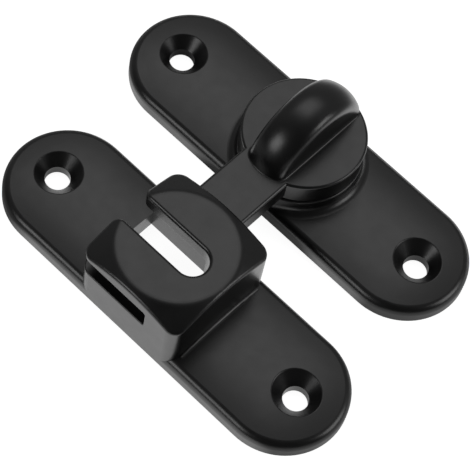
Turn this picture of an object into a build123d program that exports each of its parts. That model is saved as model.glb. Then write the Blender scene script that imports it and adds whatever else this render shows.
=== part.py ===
from build123d import *
import os
from math import asin, cos, degrees, radians, sin, sqrt, tan

# Plates: both halves of the latch share one crowned form and one screw pattern
plate_length = 90.0
plate_width = 28.0
plate_thickness = 5.3
plate_wall_height = 2.2
plate_edge_radius = 2.0
screw_spacing = 69.0
screw_hole_diameter = 5.5
countersink_diameter = 10.9
countersink_angle = 82.0
countersink_edge_radius = 0.3

# Place of the keeper plate beside the latch plate
keeper_shift = 3.0
keeper_distance = 40.4

# Boss on the latch plate, nearly as wide as the plate
boss_height = 3.1
boss_diameter = 27.0
boss_edge_radius = 0.4
boss_foot_radius = 2.0

# Thumb-turn casting: disc with a rolled rim, arm, grip and pivot post
disc_diameter = 26.9
disc_thickness = 5.45
disc_rim_radius = 0.6
arm_width = 12.3
arm_thickness = 4.5
arm_reach = 34.5
arm_edge_radius = 0.8
grip_crown_radius = 14.2
grip_crown_rise = 1.5
grip_edge_radius = 2.3
grip_foot_radius = 0.35
grip_land = 0.1
grip_axis_depth = 3.3
grip_swell = 0.4
post_diameter = 8.0

# Friction washer, disc spring, retaining washer and pivot screw
friction_washer_diameter = 23.2
friction_washer_thickness = 0.75
spring_height = 0.8
spring_thickness = 0.4
retaining_washer_thickness = 1.0
recess_diameter = 16.0
pivot_screw_diameter = 4.0
pivot_screw_length = 6.0
pivot_head_diameter = 7.6
pivot_head_height = 1.9
pivot_head_edge_radius = 0.8
pivot_head_sink = 0.45
cross_recess_span = 4.2
cross_recess_width = 0.9
cross_recess_depth = 1.1

# Keeper housing: a hooded block, slit through for the arm and slotted on top
housing_length = 26.7
housing_offset = -0.85
housing_corner_radius = 2.8
wall_cove_radius = 0.8
wall_cove_root = 0.3
hood_thickness = 3.9
hood_flat_diameter = 24.0
hood_fall_angle = 26.0
hood_fall_bend = 3.0
hood_edge_radius = 0.8
hood_slot_width = 7.0
hood_slot_reach = 20.75
hood_mouth_radius = 1.8
slot_foot_radius = 0.3
slit_corner_radius = 0.6
window_width = 15.6
window_reach = 21.0

# Clearances
running_clearance = 0.05
slide_clearance = 0.05
washer_clearance = 0.3
recess_clearance = 0.8
thread_clearance = 0.05
thread_tip_clearance = 0.6
slit_clearance = 0.25
stop_clearance = 0.9

# How near an edge lies to the place where it is looked for
edge_tolerance = 0.05

# Heights above the mounting plane, worked out from the stack
boss_top = plate_thickness + boss_height
disc_bottom = boss_top + friction_washer_thickness + slide_clearance
disc_top = disc_bottom + disc_thickness
arm_bottom = disc_top - arm_thickness
washer_bottom = pivot_head_sink + pivot_head_height
post_bottom = washer_bottom + retaining_washer_thickness
recess_depth = post_bottom + slide_clearance + spring_height
slit_bottom = arm_bottom - slit_clearance
slit_top = disc_top + slit_clearance
hood_top = slit_top + hood_thickness

# Crown of the plates, an arc tangent to the rounded edges
plate_edge_centre = plate_width / 2 - plate_edge_radius
plate_rise = plate_thickness - plate_wall_height
crown_drop = plate_rise - plate_edge_radius
crown_radius = (plate_edge_centre ** 2 + plate_rise ** 2 - plate_edge_radius ** 2) / (2 * crown_drop)

# Plan positions worked out from the driving sizes
disc_radius = disc_diameter / 2
grip_width = arm_width - 2 * (arm_edge_radius + grip_foot_radius + grip_land)
post_radius = post_diameter / 2
keeper_y = -keeper_distance
housing_x = keeper_shift + housing_offset
housing_left = housing_x - housing_length / 2
slit_end = arm_width / 2 + stop_clearance
cut_margin = plate_width


def prism(sketch, low, high):
    """Straight prism of a plan sketch between two heights."""
    return extrude(Pos(0, 0, low) * sketch, high - low)


def turned(points):
    """Solid turned about the upright axis from a half profile of (radius, height) points."""
    profile = make_face(Polyline(*points, close=True))
    return revolve(Plane.XZ * profile, Axis.Z)


def ring(inner_radius, outer_radius, low, high):
    """Flat washer between two radii and two heights."""
    return turned([(inner_radius, low), (outer_radius, low), (outer_radius, high), (inner_radius, high)])


def plate_section():
    """Half section of a plate: straight wall, rounded edge and crowned top, each tangent to the next."""
    half_width = plate_width / 2
    slope = plate_edge_centre / (crown_radius - plate_edge_radius)
    edge_end_x = plate_edge_centre + plate_edge_radius * slope
    edge_end_z = plate_wall_height + plate_edge_radius * sqrt(1 - slope ** 2)
    wall_top = (half_width, plate_wall_height)
    crest = (0, plate_thickness)
    edge = TangentArc(wall_top, (edge_end_x, edge_end_z), tangent=(0, 1))
    crown = TangentArc((edge_end_x, edge_end_z), crest, tangent=edge % 1)
    rest = Polyline(crest, (0, 0), (half_width, 0), wall_top)
    return make_face([edge, crown, rest])


def screw_plate():
    """Long round-ended plate with a crowned top and two countersunk holes."""
    section = plate_section()
    straight = plate_length - plate_width
    half_bar = extrude(Plane.YZ * section, straight / 2, both=True)
    dome = split(revolve(Plane.XZ * section, Axis.Z), Plane.YZ, keep=Keep.TOP)
    end = Pos(straight / 2, 0, 0) * dome
    plate = half_bar + mirror(half_bar, about=Plane.XZ) + end + Rot(0, 0, 180) * end
    hole_radius = screw_hole_diameter / 2
    sink_radius = countersink_diameter / 2
    sink_depth = (sink_radius - hole_radius) / tan(radians(countersink_angle / 2))
    hole = turned([
        (0, -plate_thickness),
        (hole_radius, -plate_thickness),
        (hole_radius, plate_thickness - sink_depth),
        (sink_radius, plate_thickness),
        (sink_radius, 2 * plate_thickness),
        (0, 2 * plate_thickness),
    ])
    holes = [Pos(side * screw_spacing / 2, 0, 0) * hole for side in (-1, 1)]
    drilled = plate - holes
    cut_edges = new_edges(plate, *holes, combined=drilled)
    rims = cut_edges.filter_by(lambda edge: edge.center().Z > plate_wall_height)
    return fillet(rims, countersink_edge_radius)


def make_latch_plate():
    """Plate with the pivot boss, its bore and the recess behind it."""
    plate = screw_plate()
    boss = prism(Circle(boss_diameter / 2), plate_wall_height, boss_top)
    boss = fillet(boss.faces().sort_by(Axis.Z)[-1].edges(), boss_edge_radius)
    body = plate + boss
    body = fillet(new_edges(plate, boss, combined=body), boss_foot_radius)
    bore_radius = post_radius + running_clearance
    recess = turned([
        (0, -plate_thickness),
        (recess_diameter / 2, -plate_thickness),
        (recess_diameter / 2, recess_depth),
        (bore_radius, recess_depth),
        (bore_radius, 2 * boss_top),
        (0, 2 * boss_top),
    ])
    return body - recess


def make_arm():
    """Flat bar from the pivot to the keeper, with eased top and tip edges."""
    plan = Pos(0, -arm_reach / 2) * Rectangle(arm_width, arm_reach)
    arm = prism(plan, arm_bottom, disc_top)
    tip_corners = arm.edges().filter_by(Axis.Z).group_by(Axis.Y)[0]
    arm = fillet(tip_corners, arm_edge_radius)
    top_edges = arm.faces().sort_by(Axis.Z)[-1].edges().sort_by(Axis.Y)[:-1]
    return fillet(top_edges, arm_edge_radius)


def make_grip():
    """Upright wheel with a crowned rim, cut off inside the disc and flush with its wall."""
    half_width = grip_width / 2
    side_radius = grip_crown_radius - grip_crown_rise
    left_edge = (-half_width, side_radius)
    right_edge = (half_width, side_radius)
    crown = ThreePointArc(left_edge, (0, grip_crown_radius), right_edge)
    sides = Polyline(right_edge, (half_width, 0), (-half_width, 0), left_edge)
    profile = make_face([crown, sides])
    rim_corners = profile.vertices().group_by(Axis.Y)[-1]
    wheel = revolve(fillet(rim_corners, grip_edge_radius), Axis.X)
    foot = disc_top - disc_rim_radius
    axis_height = disc_top - grip_axis_depth
    far_reach = sqrt(grip_crown_radius ** 2 - (foot - axis_height) ** 2)
    wheel = Pos(0, disc_radius + grip_swell - far_reach, axis_height) * wheel
    fence = Pos(0, -disc_radius) * Rectangle(arm_width, disc_diameter) + Circle(disc_radius)
    return wheel & prism(fence, foot, disc_top + 2 * grip_crown_radius)


def meets_grip(edge):
    """True for an edge along the foot of the grip, on top of the disc and arm."""
    middle = edge.position_at(0.5)
    across = abs(middle.X) < grip_width / 2 + edge_tolerance
    return across and abs(middle.Z - disc_top) < edge_tolerance and middle.Y > -disc_diameter


def make_thumb_turn():
    """Disc, arm, grip and pivot post as one casting with a tapped post."""
    disc = prism(Circle(disc_radius), disc_bottom, disc_top)
    disc = fillet(disc.faces().sort_by(Axis.Z)[-1].edges(), disc_rim_radius)
    flat = disc + make_arm()
    body = flat + make_grip()
    foot_edges = body.edges().filter_by(meets_grip)
    body = fillet(foot_edges, grip_foot_radius)
    body += prism(Circle(post_radius), post_bottom, disc_bottom)
    tapped_radius = pivot_screw_diameter / 2 + thread_clearance
    tapped_top = washer_bottom + pivot_screw_length + thread_tip_clearance
    return body - prism(Circle(tapped_radius), post_bottom, tapped_top)


def make_friction_washer():
    """Flat washer that lies on the boss and carries the disc."""
    inner_radius = post_radius + washer_clearance
    top = boss_top + friction_washer_thickness
    return ring(inner_radius, friction_washer_diameter / 2, boss_top, top)


def make_spring_washer():
    """Disc spring with its inner edge against the ceiling of the recess."""
    inner_radius = post_radius + washer_clearance
    outer_radius = recess_diameter / 2 - recess_clearance
    low = recess_depth - spring_height
    return turned([
        (inner_radius, recess_depth - spring_thickness),
        (outer_radius, low),
        (outer_radius, low + spring_thickness),
        (inner_radius, recess_depth),
    ])


def make_retaining_washer():
    """Flat washer clamped between the post and the screw head."""
    inner_radius = pivot_screw_diameter / 2 + thread_clearance
    outer_radius = recess_diameter / 2 - recess_clearance
    return ring(inner_radius, outer_radius, washer_bottom, post_bottom)


def make_pivot_screw():
    """Pan-head screw with a cross recess, driven into the post from behind."""
    head = prism(Circle(pivot_head_diameter / 2), pivot_head_sink, washer_bottom)
    head = fillet(head.faces().sort_by(Axis.Z)[0].edges(), pivot_head_edge_radius)
    shank_top = washer_bottom + pivot_screw_length
    screw = head + prism(Circle(pivot_screw_diameter / 2), washer_bottom, shank_top)
    bar = SlotOverall(cross_recess_span, cross_recess_width)
    cross = bar + Rot(0, 0, 90) * bar
    return screw - prism(cross, pivot_head_sink - cross_recess_depth, pivot_head_sink + cross_recess_depth)


def make_hooded_block():
    """Square block whose top is flat in a circle and falls away to the corners."""
    block = prism(RectangleRounded(housing_length, plate_width, housing_corner_radius), 0, hood_top)
    flat_radius = hood_flat_diameter / 2
    fall_angle = radians(hood_fall_angle)
    bend_start = (flat_radius, hood_top)
    bend_radius = flat_radius + hood_fall_bend * sin(fall_angle)
    bend_height = hood_top - hood_fall_bend * (1 - cos(fall_angle))
    far_radius = housing_length
    far_height = bend_height - (far_radius - bend_radius) * tan(fall_angle)
    bend = TangentArc(bend_start, (bend_radius, bend_height), tangent=(1, 0))
    rest = Polyline(
        (bend_radius, bend_height),
        (far_radius, far_height),
        (far_radius, 0),
        (0, 0),
        (0, hood_top),
        bend_start,
    )
    hood = revolve(Plane.XZ * make_face([bend, rest]), Axis.Z)
    return block & hood


def make_wall_cove():
    """Cove at the foot of the housing's end wall, following the crown of the plate."""
    wall = housing_x + housing_length / 2
    root_x = wall - wall_cove_root
    root_z = plate_thickness - wall_cove_root
    cove_x = wall + wall_cove_radius
    cove_z = plate_thickness + wall_cove_radius
    hollow = TangentArc((wall, cove_z), (cove_x, plate_thickness), tangent=(0, -1))
    rest = Polyline(
        (cove_x, plate_thickness),
        (cove_x, root_z),
        (root_x, root_z),
        (root_x, cove_z),
        (wall, cove_z),
    )
    crown_axis = Axis((0, 0, plate_thickness - crown_radius), (1, 0, 0))
    half_turn = degrees(asin((plate_width / 2 - housing_corner_radius) / crown_radius))
    cove = revolve(Plane.XZ * make_face([hollow, rest]), crown_axis, revolution_arc=2 * half_turn)
    return Pos(0, keeper_y, 0) * cove.rotate(crown_axis, -half_turn)


def make_keeper():
    """Plate and hooded housing as one casting, with slit, window and top slot."""
    keeper_place = Pos(keeper_shift, keeper_y, 0)
    housing = Pos(housing_x, keeper_y, 0) * make_hooded_block()
    slot_radius = hood_slot_width / 2
    slot_end = housing_left + hood_slot_reach - slot_radius
    mouth = housing_left - cut_margin
    slot = Pos((mouth + slot_end) / 2, keeper_y) * SlotCenterToCenter(slot_end - mouth, hood_slot_width)
    housing -= prism(slot, slit_bottom, hood_top + cut_margin)

    # Ease the mouth of the top slot, then the rim of the hood
    slot_sides = (keeper_y - hood_slot_width, keeper_y + hood_slot_width)
    slot_corners = housing.edges().filter_by(Axis.Z).filter_by_position(Axis.Y, *slot_sides)
    housing = fillet(slot_corners.group_by(Axis.X)[0], hood_mouth_radius)
    hood_faces = housing.faces().filter_by(lambda face: face.center().Z > slit_top + hood_thickness / 2)
    rim_edges = housing.edges().filter_by(
        lambda edge: sum(edge in face.edges() for face in hood_faces) == 1
    )
    housing = fillet(rim_edges, hood_edge_radius)

    # Slit for the arm, open at the left face and closed where the arm stops
    slit_width = slit_end - mouth
    slit_height = slit_top - slit_bottom
    slit_plane = Plane.XZ.offset(keeper_distance - plate_width)
    slit_centre = Pos((mouth + slit_end) / 2, (slit_bottom + slit_top) / 2)
    slit_profile = slit_plane * slit_centre * RectangleRounded(slit_width, slit_height, slit_corner_radius)
    slit = extrude(slit_profile, 2 * plate_width)

    window = Pos(housing_left + window_reach / 2, keeper_y) * Rectangle(window_reach, window_width)
    keeper = keeper_place * screw_plate() + housing + make_wall_cove()
    keeper -= slit
    keeper -= prism(window, -plate_thickness, slit_bottom + slit_clearance)

    # Ease the underside of the hood along the top slot
    undersides = min(
        keeper.faces().filter_by(Axis.Z).group_by(Axis.Z),
        key=lambda faces: abs(faces[0].center().Z - slit_top),
    )
    return fillet(undersides.edges().filter_by_position(Axis.Y, *slot_sides), slot_foot_radius)


parts = {
    "latch_plate": make_latch_plate(),
    "friction_washer": make_friction_washer(),
    "thumb_turn": make_thumb_turn(),
    "spring_washer": make_spring_washer(),
    "retaining_washer": make_retaining_washer(),
    "pivot_screw": make_pivot_screw(),
    "keeper": make_keeper(),
}

os.makedirs("parts", exist_ok=True)
for name, shape in parts.items():
    export_step(shape, f"parts/{name}.step")
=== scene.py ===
from math import cos, radians, sin

import bpy
from mathutils import Matrix, Vector

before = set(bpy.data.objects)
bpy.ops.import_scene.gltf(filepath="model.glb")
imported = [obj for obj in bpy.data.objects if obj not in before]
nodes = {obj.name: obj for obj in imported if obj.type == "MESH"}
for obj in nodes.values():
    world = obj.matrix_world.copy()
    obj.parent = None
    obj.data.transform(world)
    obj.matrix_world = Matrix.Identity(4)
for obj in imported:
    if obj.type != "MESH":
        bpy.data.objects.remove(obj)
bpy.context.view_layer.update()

# Camera: where the photograph was taken from, in metres and degrees
CAMERA_TARGET = Vector((0.00265, -0.02154, 0.0))
CAMERA_DISTANCE = 0.44284
CAMERA_AZIMUTH = -57.95
CAMERA_ELEVATION = 61.49
CAMERA_ROLL = 13.4
CAMERA_FOCAL_PIXELS = 2106.9
CAMERA_NEAREST = 0.01
CAMERA_FARTHEST = 20.0
PHOTO_PIXELS = 470
SENSOR_WIDTH = 36.0

# Floor: a wide flat sheet, white to the camera, in metres
WHITE = (1.0, 1.0, 1.0, 1.0)
FLOOR_HALF = 1.5
FLOOR_DROP = 0.00005
FLOOR_PAPER = (0.5, 0.5, 0.5, 1.0)
FLOOR_ROUGHNESS = 0.9
FLOOR_WHITE = 0.94

# Floor in reflections, painted light and shade: dim, with a painted bright strip in front of the latch that
# stops short of the thumb-turn,
#  a weaker painted pool of light at the right and a bright one behind; brightness from 0 to 1, places in
#  metres
FLOOR_DIM = 0.08
STRIP_GLOW = 1.0
STRIP_BACK = 0.004
STRIP_FRONT = -0.012
STRIP_SLANT = 0.25
STRIP_MIDDLE = -0.0075
STRIP_HALF_IN = 0.031
STRIP_HALF_OUT = 0.041
# Painted shadow of the thumb-turn on the floor in reflections, between these distances from the pivot
TURN_SHADE_IN = 0.018
TURN_SHADE_OUT = 0.025
SIDE_GLOW = 0.30
SIDE_LEFT = -0.020
SIDE_RIGHT = 0.040
SIDE_REACH_IN = 0.060
SIDE_REACH_OUT = 0.110
BACK_GLOW = 0.90
BACK_NEAR_IN = 0.018
BACK_NEAR_OUT = 0.027
BACK_FAR_IN = 0.030
BACK_FAR_OUT = 0.085

# Tent: dim cloth that brightens opposite the camera, between two values of the cosine of the angle to there
TENT_DARK = 0.06
TENT_BRIGHT = 0.18
TENT_AZIMUTH = CAMERA_AZIMUTH + 180.0
TENT_ELEVATION = 15.0
TENT_FADE_START = -0.2
TENT_FADE_END = 0.6

# Overhead panel: its edges as x / z and y / z of the direction towards them
PANEL_LEFT = -0.80
PANEL_RIGHT = 0.03
PANEL_NEAR = 0.10
PANEL_FAR = 0.87
PANEL_SOFTNESS = 0.15
PANEL_FAR_SOFTNESS = 0.25
PANEL_STRENGTH = 1.12
PANEL_LEAST_HEIGHT = 0.001

# Soft boxes: metres, degrees and watts
SOFT_BOX_DISTANCE = 0.8
SOFT_BOXES = {
    "front_soft_box": {"azimuth": -108.0, "elevation": 30.0, "size": 0.34, "power": 0.95},
    "side_soft_box": {"azimuth": 28.0, "elevation": 29.0, "size": 0.40, "power": 1.1},
}

# Noise: the middle of its range that carries a change of roughness or colour, and its levels of detail
SPREAD_START = 0.3
SPREAD_END = 0.7
BLEND_START = 0.35
BLEND_END = 0.65
PLAIN_DETAIL = 2.0
FINE_DETAIL = 3.0
CLOUDY_DETAIL = 4.0

# Paint: linear colours, grains to a metre, and depth of the orange peel in metres
PAINT_IOR = 1.65
PAINT_DARK = (0.0045, 0.0045, 0.0046)
PAINT_LIGHT = (0.0065, 0.0065, 0.0066)
PAINT_DRIFT_GRAINS = 90.0
PAINT_SMOOTHEST = 0.28
PAINT_ROUGHEST = 0.33
PAINT_PATCH_GRAINS = 350.0
PEEL_GRAINS = 1600.0
PEEL_DEPTH = 0.00002
PEEL_STRENGTH = 0.25

# Zinc plate: linear colours, grains and rings to a metre, and depth of the turning marks in metres
PLATING_DARK = (0.50, 0.50, 0.51)
PLATING_LIGHT = (0.63, 0.63, 0.62)
PLATING_CLOUD_GRAINS = 500.0
PLATING_SMOOTHEST = 0.26
PLATING_ROUGHEST = 0.40
PLATING_PATCH_GRAINS = 1200.0
TURNING_RINGS = 900.0
TURNING_WOBBLE = 1.5
TURNING_DEPTH = 0.00001
TURNING_STRENGTH = 0.3

# Nylon: linear colours, grains to a metre, and depth of the grain in metres
NYLON_DARK = (0.010, 0.010, 0.010)
NYLON_LIGHT = (0.016, 0.016, 0.016)
NYLON_DRIFT_GRAINS = 400.0
NYLON_SMOOTHEST = 0.45
NYLON_ROUGHEST = 0.60
NYLON_GRAINS = 2500.0
NYLON_GRAIN_DEPTH = 0.00002
NYLON_GRAIN_STRENGTH = 0.3


def add_node(tree, kind, **settings):
    """New shader node, with its own settings by name."""
    node = tree.nodes.new(kind)
    for name, value in settings.items():
        setattr(node, name, value)
    return node


def new_material(name):
    """Node material that holds only its output and the shader that feeds it."""
    material = bpy.data.materials.new(name)
    material.use_nodes = True
    tree = material.node_tree
    tree.nodes.clear()
    output = add_node(tree, "ShaderNodeOutputMaterial")
    shader = add_node(tree, "ShaderNodeBsdfPrincipled")
    tree.links.new(shader.outputs["BSDF"], output.inputs["Surface"])
    return material, tree, shader


def object_place(tree):
    """Place on the piece, in the part's own coordinates."""
    return add_node(tree, "ShaderNodeTexCoord").outputs["Object"]


def object_noise(tree, grains, detail):
    """Noise in the part's own coordinates, with a number of grains to a metre."""
    noise = add_node(tree, "ShaderNodeTexNoise")
    noise.inputs["Scale"].default_value = grains
    noise.inputs["Detail"].default_value = detail
    tree.links.new(object_place(tree), noise.inputs["Vector"])
    return noise.outputs["Fac"]


def spread(tree, value, low, high):
    """Maps a noise value to the range from low to high."""
    span = add_node(tree, "ShaderNodeMapRange")
    span.inputs["From Min"].default_value = SPREAD_START
    span.inputs["From Max"].default_value = SPREAD_END
    span.inputs["To Min"].default_value = low
    span.inputs["To Max"].default_value = high
    tree.links.new(value, span.inputs["Value"])
    return span.outputs["Result"]


def colour_between(tree, value, first, second):
    """Colour that drifts between two colours with a noise value."""
    ramp = add_node(tree, "ShaderNodeValToRGB")
    start, end = ramp.color_ramp.elements
    start.position = BLEND_START
    start.color = (*first, 1.0)
    end.position = BLEND_END
    end.color = (*second, 1.0)
    tree.links.new(value, ramp.inputs["Fac"])
    return ramp.outputs["Color"]


def bump(tree, shader, height, depth, strength):
    """Fine relief of a given depth on the shader's normal."""
    relief = add_node(tree, "ShaderNodeBump")
    relief.inputs["Distance"].default_value = depth
    relief.inputs["Strength"].default_value = strength
    tree.links.new(height, relief.inputs["Height"])
    tree.links.new(relief.outputs["Normal"], shader.inputs["Normal"])


def satin_black_paint():
    """Baked satin black on a zinc casting: near black, a soft sheen and a faint orange peel."""
    material, tree, shader = new_material("satin_black_paint")
    shader.inputs["IOR"].default_value = PAINT_IOR
    drift = object_noise(tree, PAINT_DRIFT_GRAINS, PLAIN_DETAIL)
    tree.links.new(colour_between(tree, drift, PAINT_DARK, PAINT_LIGHT), shader.inputs["Base Color"])
    patches = object_noise(tree, PAINT_PATCH_GRAINS, FINE_DETAIL)
    tree.links.new(spread(tree, patches, PAINT_SMOOTHEST, PAINT_ROUGHEST), shader.inputs["Roughness"])
    peel = object_noise(tree, PEEL_GRAINS, PLAIN_DETAIL)
    bump(tree, shader, peel, PEEL_DEPTH, PEEL_STRENGTH)
    return material


def zinc_plated_steel():
    """Bright plated steel with turning marks round the pivot and cloudy plating."""
    material, tree, shader = new_material("zinc_plated_steel")
    shader.inputs["Metallic"].default_value = 1.0
    clouds = object_noise(tree, PLATING_CLOUD_GRAINS, CLOUDY_DETAIL)
    tree.links.new(colour_between(tree, clouds, PLATING_DARK, PLATING_LIGHT), shader.inputs["Base Color"])
    patches = object_noise(tree, PLATING_PATCH_GRAINS, FINE_DETAIL)
    tree.links.new(spread(tree, patches, PLATING_SMOOTHEST, PLATING_ROUGHEST), shader.inputs["Roughness"])
    rings = add_node(tree, "ShaderNodeTexWave", wave_type="RINGS", rings_direction="Z")
    rings.inputs["Scale"].default_value = TURNING_RINGS
    rings.inputs["Distortion"].default_value = TURNING_WOBBLE
    tree.links.new(object_place(tree), rings.inputs["Vector"])
    bump(tree, shader, rings.outputs["Fac"], TURNING_DEPTH, TURNING_STRENGTH)
    return material


def black_nylon():
    """Moulded black nylon: dull, with a fine even grain."""
    material, tree, shader = new_material("black_nylon")
    drift = object_noise(tree, NYLON_DRIFT_GRAINS, PLAIN_DETAIL)
    tree.links.new(colour_between(tree, drift, NYLON_DARK, NYLON_LIGHT), shader.inputs["Base Color"])
    grain = object_noise(tree, NYLON_GRAINS, FINE_DETAIL)
    tree.links.new(spread(tree, grain, NYLON_SMOOTHEST, NYLON_ROUGHEST), shader.inputs["Roughness"])
    bump(tree, shader, grain, NYLON_GRAIN_DEPTH, NYLON_GRAIN_STRENGTH)
    return material


def calculate(tree, operation, first, second):
    """Result of one operation on two sockets or plain numbers."""
    node = add_node(tree, "ShaderNodeMath", operation=operation)
    for socket, value in zip(node.inputs, (first, second)):
        if isinstance(value, float):
            socket.default_value = value
        else:
            tree.links.new(value, socket)
    return node.outputs["Value"]


def product(tree, first, *others):
    """Product of sockets and plain numbers."""
    result = first
    for factor in others:
        result = calculate(tree, "MULTIPLY", result, factor)
    return result


def along_axis(tree, vector, axis):
    """Dot product of a vector socket with a fixed axis."""
    node = add_node(tree, "ShaderNodeVectorMath", operation="DOT_PRODUCT")
    node.inputs[1].default_value = axis
    tree.links.new(vector, node.inputs[0])
    return node.outputs["Value"]


def split_axes(tree, vector):
    """The x, y and z sockets of a vector socket."""
    axes = add_node(tree, "ShaderNodeSeparateXYZ")
    tree.links.new(vector, axes.inputs["Vector"])
    return axes.outputs["X"], axes.outputs["Y"], axes.outputs["Z"]


def smooth_step(tree, value, start, end):
    """Rises smoothly from 0 where the value is at start to 1 where it is at end."""
    rise = add_node(tree, "ShaderNodeMapRange", interpolation_type="SMOOTHSTEP")
    backwards = start > end
    rise.inputs["From Min"].default_value = min(start, end)
    rise.inputs["From Max"].default_value = max(start, end)
    rise.inputs["To Min"].default_value = float(backwards)
    rise.inputs["To Max"].default_value = float(not backwards)
    tree.links.new(value, rise.inputs["Value"])
    return rise.outputs["Result"]


def painted_floor_reflections(tree):
    """Painted brightness of the floor in reflections, by the place on it: painted pools of light and a
    painted shadow round the thumb-turn.
    """
    place = object_place(tree)
    east, north, _ = split_axes(tree, place)
    distance = add_node(tree, "ShaderNodeVectorMath", operation="LENGTH")
    tree.links.new(place, distance.inputs["Vector"])
    from_pivot = distance.outputs["Value"]

    slanted = along_axis(tree, place, (1.0, STRIP_SLANT, 0.0))
    aside = calculate(tree, "SUBTRACT", slanted, STRIP_MIDDLE)
    aside = calculate(tree, "MAXIMUM", aside, product(tree, aside, -1.0))
    along_strip = smooth_step(tree, aside, STRIP_HALF_OUT, STRIP_HALF_IN)
    across_strip = smooth_step(tree, north, STRIP_BACK, STRIP_FRONT)
    # Painted shadow: the bright strip fades out round the thumb-turn
    outside_painted_turn_shadow = smooth_step(tree, from_pivot, TURN_SHADE_IN, TURN_SHADE_OUT)
    strip = product(tree, along_strip, across_strip, outside_painted_turn_shadow, STRIP_GLOW)

    rightward = smooth_step(tree, east, SIDE_LEFT, SIDE_RIGHT)
    close = smooth_step(tree, from_pivot, SIDE_REACH_OUT, SIDE_REACH_IN)
    side = product(tree, rightward, close, SIDE_GLOW)

    past_plate = smooth_step(tree, north, BACK_NEAR_IN, BACK_NEAR_OUT)
    before_end = smooth_step(tree, north, BACK_FAR_OUT, BACK_FAR_IN)
    back = product(tree, past_plate, before_end, BACK_GLOW)

    ground = calculate(tree, "ADD", calculate(tree, "ADD", side, back), FLOOR_DIM)
    return calculate(tree, "MAXIMUM", strip, ground)


def white_sweep_painted_reflections():
    """Paper floor: white to the camera, with painted pools of light and a painted shadow that only
    reflections see, and still shaded by the object.
    """
    material, tree, shader = new_material("white_sweep_painted_reflections")
    shader.inputs["Base Color"].default_value = FLOOR_PAPER
    shader.inputs["Roughness"].default_value = FLOOR_ROUGHNESS
    shader.inputs["Specular IOR Level"].default_value = 0.0
    shader.inputs["Emission Color"].default_value = WHITE
    path = add_node(tree, "ShaderNodeLightPath")
    seen = calculate(tree, "MAXIMUM", path.outputs["Is Camera Ray"], path.outputs["Is Transmission Ray"])
    white = product(tree, seen, FLOOR_WHITE)
    # Reflections see painted pools of light laid on the floor, on top of its own lighting
    painted_reflection = product(tree, path.outputs["Is Glossy Ray"], painted_floor_reflections(tree))
    tree.links.new(calculate(tree, "MAXIMUM", white, painted_reflection), shader.inputs["Emission Strength"])
    return material


def direction(azimuth, elevation):
    """Unit vector towards an azimuth and elevation in degrees."""
    turn = radians(azimuth)
    lift = radians(elevation)
    return Vector((cos(lift) * cos(turn), cos(lift) * sin(turn), sin(lift)))


def camera_axes():
    """Right, up and backward directions of the camera."""
    roll = radians(CAMERA_ROLL)
    back = direction(CAMERA_AZIMUTH, CAMERA_ELEVATION)
    level_right = (-back).cross(Vector((0, 0, 1))).normalized()
    level_up = level_right.cross(-back)
    right = cos(roll) * level_right + sin(roll) * level_up
    up = cos(roll) * level_up - sin(roll) * level_right
    return right, up, back


def add_camera():
    """Camera at the photograph's place, turn and field of view."""
    right, up, back = camera_axes()
    data = bpy.data.cameras.new("photo_camera")
    data.sensor_width = SENSOR_WIDTH
    data.lens = SENSOR_WIDTH * CAMERA_FOCAL_PIXELS / PHOTO_PIXELS
    data.clip_start = CAMERA_NEAREST
    data.clip_end = CAMERA_FARTHEST
    camera = bpy.data.objects.new("photo_camera", data)
    turn = Matrix((right, up, back)).transposed().to_4x4()
    camera.matrix_world = Matrix.Translation(CAMERA_TARGET + back * CAMERA_DISTANCE) @ turn
    bpy.context.scene.collection.objects.link(camera)
    bpy.context.scene.camera = camera


def add_floor():
    """Flat floor, a hair under the mounting plane so that it doesn't lie in the plates' backs."""
    half = FLOOR_HALF
    mesh = bpy.data.meshes.new("floor")
    sides = [(-half, -half), (half, -half), (half, half), (-half, half)]
    corners = [(x, y, -FLOOR_DROP) for x, y in sides]
    mesh.from_pydata(corners, [], [tuple(range(len(corners)))])
    floor = bpy.data.objects.new("floor", mesh)
    bpy.context.scene.collection.objects.link(floor)
    mesh.materials.append(white_sweep_painted_reflections())


def tent_cloth(tree, towards):
    """Brightness of the tent's cloth in a direction."""
    facing = along_axis(tree, towards, direction(TENT_AZIMUTH, TENT_ELEVATION))
    glow = product(tree, smooth_step(tree, facing, TENT_FADE_START, TENT_FADE_END), TENT_BRIGHT)
    return calculate(tree, "ADD", glow, TENT_DARK)


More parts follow.
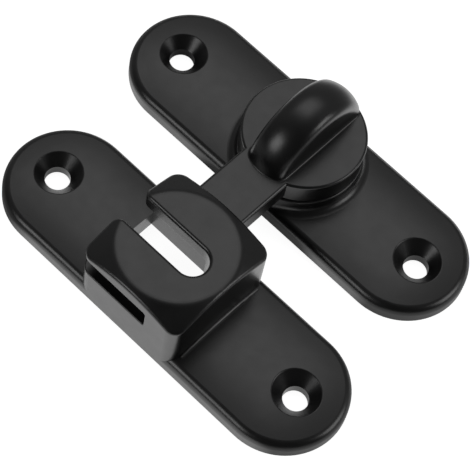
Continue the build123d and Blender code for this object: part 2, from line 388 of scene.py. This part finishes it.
def overhead_panel(tree, towards):
    """Brightness of a level rectangular panel in a direction."""
    x, y, z = split_axes(tree, towards)
    height = calculate(tree, "MAXIMUM", z, PANEL_LEAST_HEIGHT)
    east = calculate(tree, "DIVIDE", x, height)
    north = calculate(tree, "DIVIDE", y, height)
    edges = (
        (east, PANEL_LEFT - PANEL_SOFTNESS, PANEL_LEFT + PANEL_SOFTNESS),
        (east, PANEL_RIGHT + PANEL_SOFTNESS, PANEL_RIGHT - PANEL_SOFTNESS),
        (north, PANEL_NEAR - PANEL_SOFTNESS, PANEL_NEAR + PANEL_SOFTNESS),
        (north, PANEL_FAR + PANEL_FAR_SOFTNESS, PANEL_FAR - PANEL_FAR_SOFTNESS),
    )
    inside = [smooth_step(tree, value, start, end) for value, start, end in edges]
    return product(tree, *inside, PANEL_STRENGTH)


def add_tent():
    """World: a dim tent with a bright panel overhead, and plain white to the camera."""
    world = bpy.data.worlds.new("light_tent")
    world.use_nodes = True
    bpy.context.scene.world = world
    tree = world.node_tree
    tree.nodes.clear()
    output = add_node(tree, "ShaderNodeOutputWorld")
    sky = add_node(tree, "ShaderNodeBackground")
    tree.links.new(sky.outputs["Background"], output.inputs["Surface"])
    towards = add_node(tree, "ShaderNodeTexCoord").outputs["Generated"]
    light = calculate(tree, "ADD", tent_cloth(tree, towards), overhead_panel(tree, towards))
    path = add_node(tree, "ShaderNodeLightPath")
    shown = calculate(tree, "MAXIMUM", light, path.outputs["Is Camera Ray"])
    tree.links.new(shown, sky.inputs["Strength"])


def add_soft_box(name, azimuth, elevation, size, power):
    """Square soft box aimed at the latch."""
    data = bpy.data.lights.new(name, "AREA")
    data.shape = "SQUARE"
    data.size = size
    data.energy = power
    lamp = bpy.data.objects.new(name, data)
    towards = direction(azimuth, elevation)
    turn = towards.to_track_quat("Z", "Y").to_matrix().to_4x4()
    lamp.matrix_world = Matrix.Translation(CAMERA_TARGET + towards * SOFT_BOX_DISTANCE) @ turn
    bpy.context.scene.collection.objects.link(lamp)


def dress(material, *names):
    """Gives CAD pieces their finish."""
    for name in names:
        data = nodes[name].data
        data.materials.clear()
        data.materials.append(material)


dress(satin_black_paint(), "latch_plate", "thumb_turn", "keeper")
dress(zinc_plated_steel(), "spring_washer", "retaining_washer", "pivot_screw")
dress(black_nylon(), "friction_washer")

add_camera()
add_floor()
add_tent()
for box_name, box_settings in SOFT_BOXES.items():
    add_soft_box(box_name, **box_settings)
bpy.context.scene.view_settings.view_transform = "Standard"
